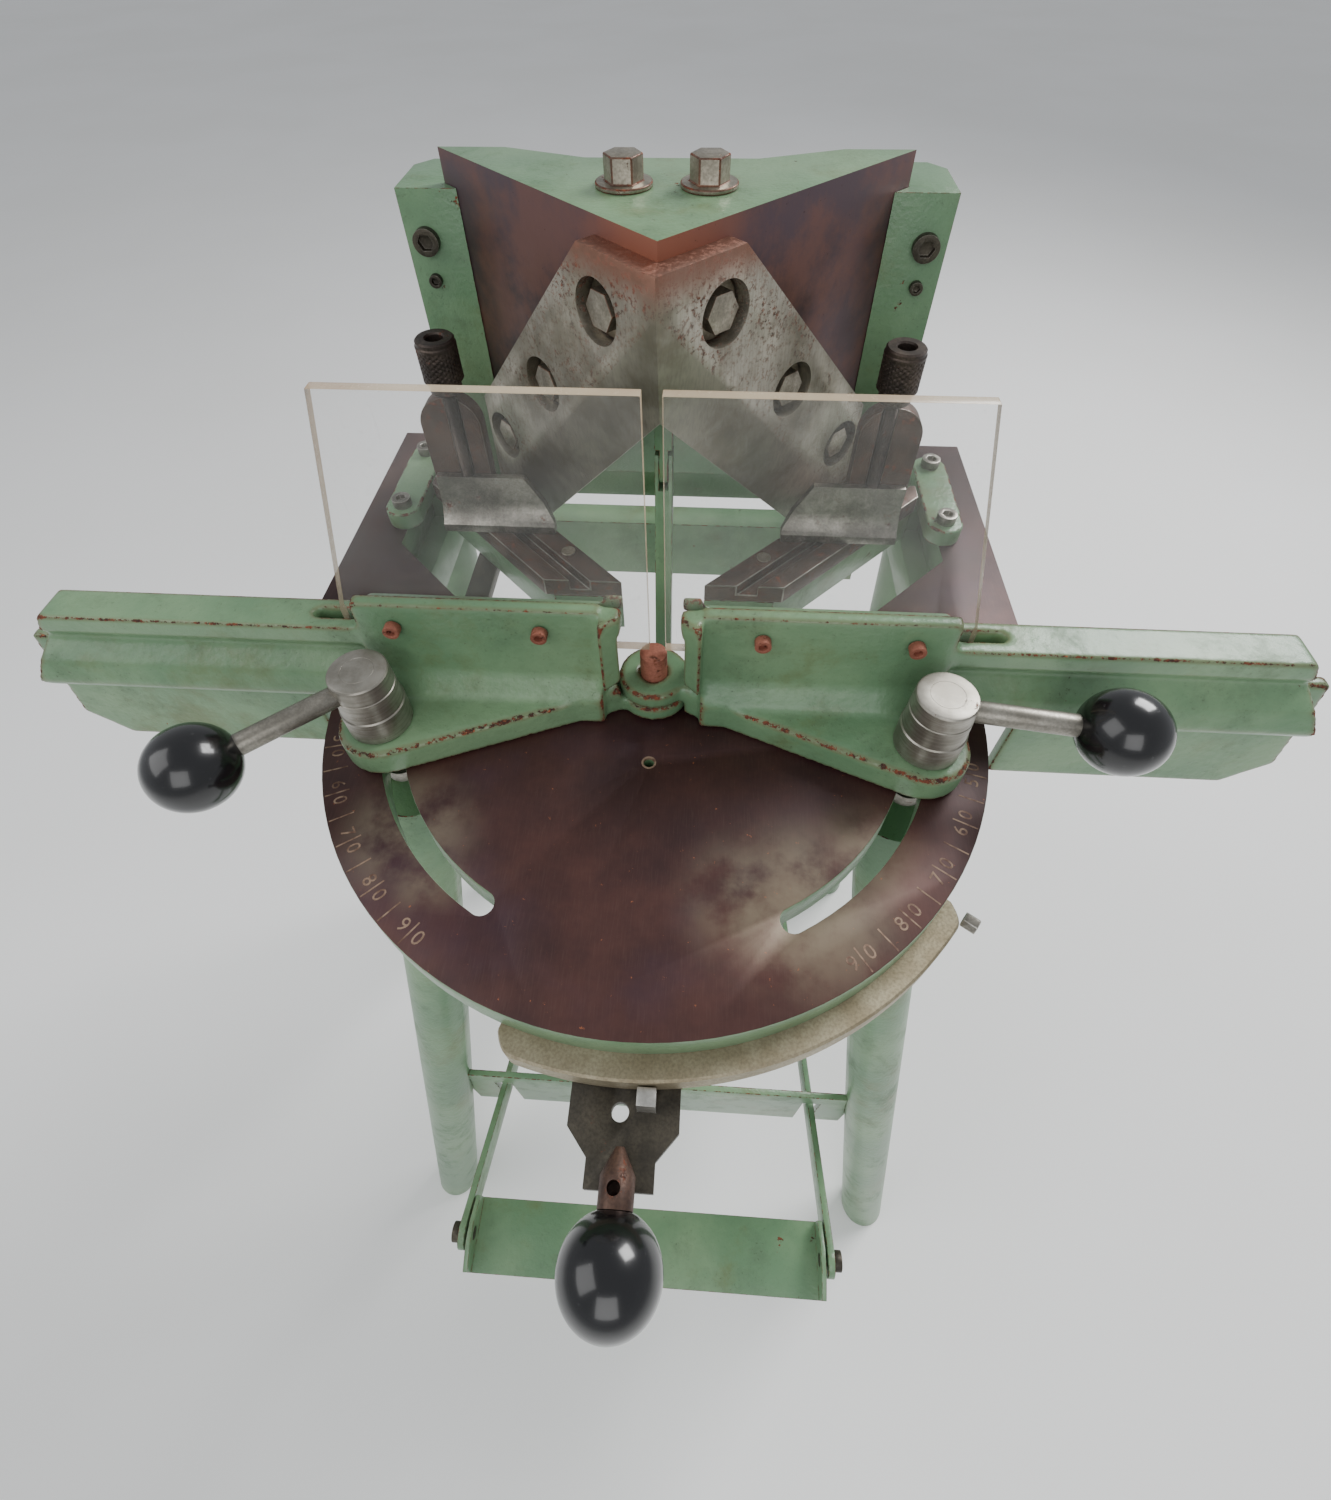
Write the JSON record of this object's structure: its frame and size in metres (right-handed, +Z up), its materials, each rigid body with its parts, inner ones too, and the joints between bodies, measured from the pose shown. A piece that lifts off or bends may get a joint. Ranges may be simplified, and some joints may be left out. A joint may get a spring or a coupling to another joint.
{
  "type": "mitre guillotine",
  "caption": "Foot-operated mitre guillotine for frame moulding: half-round table, swinging fences with clear guards, V knife block, feed lever, treadle.",
  "frame": {"origin": "on the floor, under the pivot of the two fences, which is also the middle of the bounding box in plan", "axes": "+Z up, +Y away from the operator, +X to the operator's right"},
  "size_m": [0.808, 0.605, 1.0835],
  "materials": {
    "green_paint": "old sage green paint",
    "knife_steel": "ground, speckled with rust",
    "zinc_bolts": "dull",
    "bare_steel": "dull machined",
    "dark_steel": "dark",
    "rusty_steel": "brown rust",
    "black_steel": "oiled black",
    "black_ball": "gloss",
    "clear_guard": "clear acrylic, dusty"
  },
  "bodies": {
    "frame": {"table_casting": "green_paint", "feed_segment": "bare_steel", "segment_stop_screw": "rusty_steel", "pivot_stud": "rusty_steel", "leg_front_right": "green_paint", "leg_front_left": "green_paint", "leg_rear_right": "green_paint", "leg_rear_left": "green_paint", "web_plate": "green_paint", "rear_crossbar": "green_paint", "treadle_shaft": "rusty_steel", "keeper_right": "green_paint", "keeper_left": "green_paint", "keeper_screws": "black_steel", "spring_hanger": "rusty_steel", "return_spring": "rusty_steel"},
    "carriage": {"carriage_base": "green_paint", "guide_post_right": "green_paint", "guide_post_left": "green_paint", "guide_bridge": "green_paint", "guide_screws": "black_steel", "ledger_bar_right": "rusty_steel", "ledger_bar_left": "rusty_steel", "ledger_screws": "rusty_steel", "support_bracket_right": "rusty_steel", "support_bracket_left": "rusty_steel", "feed_pin": "rusty_steel"},
    "rebate_support_right": {"support_angle_right": "bare_steel"},
    "rebate_support_left": {"support_angle_left": "bare_steel"},
    "support_knob_right": {"support_screw_right": "black_steel"},
    "support_knob_left": {"support_screw_left": "black_steel"},
    "head": {"knife_block": "green_paint", "knife_right": "knife_steel", "knife_left": "knife_steel", "knife_bolts_right": "zinc_bolts", "knife_bolts_left": "zinc_bolts", "top_bolts": "zinc_bolts", "block_pin": "rusty_steel"},
    "shackle": {"rod_shackle": "rusty_steel"},
    "rod": {"pull_rod": "green_paint"},
    "treadle": {"treadle_frame": "green_paint", "tread_bolts": "black_steel"},
    "tread": {"tread_plate": "green_paint"},
    "feed_lever": {"feed_lever_plate": "dark_steel", "feed_spindle": "rusty_steel", "feed_ball": "black_ball"},
    "fence_right_body": {"fence_right": "green_paint", "guard_right": "clear_guard", "guard_screws_right": "rusty_steel", "clamp_stud_right": "rusty_steel"},
    "fence_left_body": {"fence_left": "green_paint", "guard_left": "clear_guard", "guard_screws_left": "rusty_steel", "clamp_stud_left": "rusty_steel"},
    "clamp_right": {"clamp_boss_right": "bare_steel", "clamp_rod_right": "bare_steel", "clamp_ball_right": "black_ball"},
    "clamp_left": {"clamp_boss_left": "bare_steel", "clamp_rod_left": "bare_steel", "clamp_ball_left": "black_ball"}
  },
  "joints": [
    {"name": "treadle_swing", "type": "hinge", "parent": "frame", "child": "treadle", "pos_m": [0, 0.27, 0.08], "axis": [1, 0, 0], "range_deg": [0, 26], "stiffness_Nm_per_rad": 130, "springref_deg": -91.67, "deforming": ["return_spring"]},
    {"name": "tread_pivot", "type": "hinge", "parent": "treadle", "child": "tread", "pos_m": [0, -0.25799, 0.37002], "axis": [1, 0, 0], "range_deg": [-12, 12]},
    {"name": "carriage_slide", "type": "slide", "parent": "frame", "child": "carriage", "axis": [0, 1, 0], "range_m": [-0.051, 0.022]},
    {"name": "head_slide", "type": "slide", "parent": "carriage", "child": "head", "axis": [0, 0, 1], "range_m": [-0.147, 0.0005]},
    {"name": "shackle_hinge", "type": "hinge", "parent": "head", "child": "shackle", "pos_m": [0, 0.12, 0.97], "axis": [1, 0, 0], "range_deg": [-4, 5]},
    {"name": "rod_hinge", "type": "hinge", "parent": "shackle", "child": "rod", "pos_m": [0, 0.11227, 0.93075], "axis": [1, 0, 0], "range_deg": [-4.5, 0.5]},
    {"name": "feed_lever_swing", "type": "hinge", "parent": "frame", "child": "feed_lever", "pos_m": [0, 0, 0.797], "axis": [0, 0, 1], "range_deg": [-8, 19]},
    {"name": "fence_right_swing", "type": "hinge", "parent": "frame", "child": "fence_right_body", "pos_m": [0, 0, 0.85], "axis": [0, 0, 1], "range_deg": [-45, 0]},
    {"name": "fence_left_swing", "type": "hinge", "parent": "frame", "child": "fence_left_body", "pos_m": [0, 0, 0.85], "axis": [0, 0, 1], "range_deg": [0, 45]},
    {"name": "clamp_right_turn", "type": "hinge", "parent": "fence_right_body", "child": "clamp_right", "pos_m": [0.1542, -0.0425, 0.88], "axis": [0, 0, 1], "range_deg": [-60, 0]},
    {"name": "clamp_left_turn", "type": "hinge", "parent": "fence_left_body", "child": "clamp_left", "pos_m": [-0.1542, -0.0425, 0.88], "axis": [0, 0, 1], "range_deg": [-28, 32]},
    {"name": "support_knob_right_spin", "type": "hinge", "parent": "carriage", "child": "support_knob_right", "pos_m": [0.14, 0.146, 0.98], "axis": [0, 0, 1], "range_deg": [-30, 1845]},
    {"name": "support_right_lift", "type": "slide", "parent": "carriage", "child": "rebate_support_right", "axis": [0, 0, 1], "range_m": [0, 0.01]},
    {"name": "support_knob_left_spin", "type": "hinge", "parent": "carriage", "child": "support_knob_left", "pos_m": [-0.14, 0.146, 0.98], "axis": [0, 0, 1], "range_deg": [-30, 1845]},
    {"name": "support_left_lift", "type": "slide", "parent": "carriage", "child": "rebate_support_left", "axis": [0, 0, 1], "range_m": [0, 0.01]}
  ],
  "couplings": [
    {"joint": "head_slide", "follows": "treadle_swing", "m_per_rad": -0.31953},
    {"joint": "rod_hinge", "follows": "treadle_swing", "ratio": -0.134},
    {"joint": "carriage_slide", "follows": "feed_lever_swing", "m_per_rad": -0.151},
    {"joint": "shackle_hinge", "follows": "feed_lever_swing", "ratio": 0.193},
    {"joint": "support_knob_right_spin", "follows": "support_right_lift", "rad_per_m": 3141.6},
    {"joint": "support_knob_left_spin", "follows": "support_left_lift", "rad_per_m": 3141.6}
  ]
}
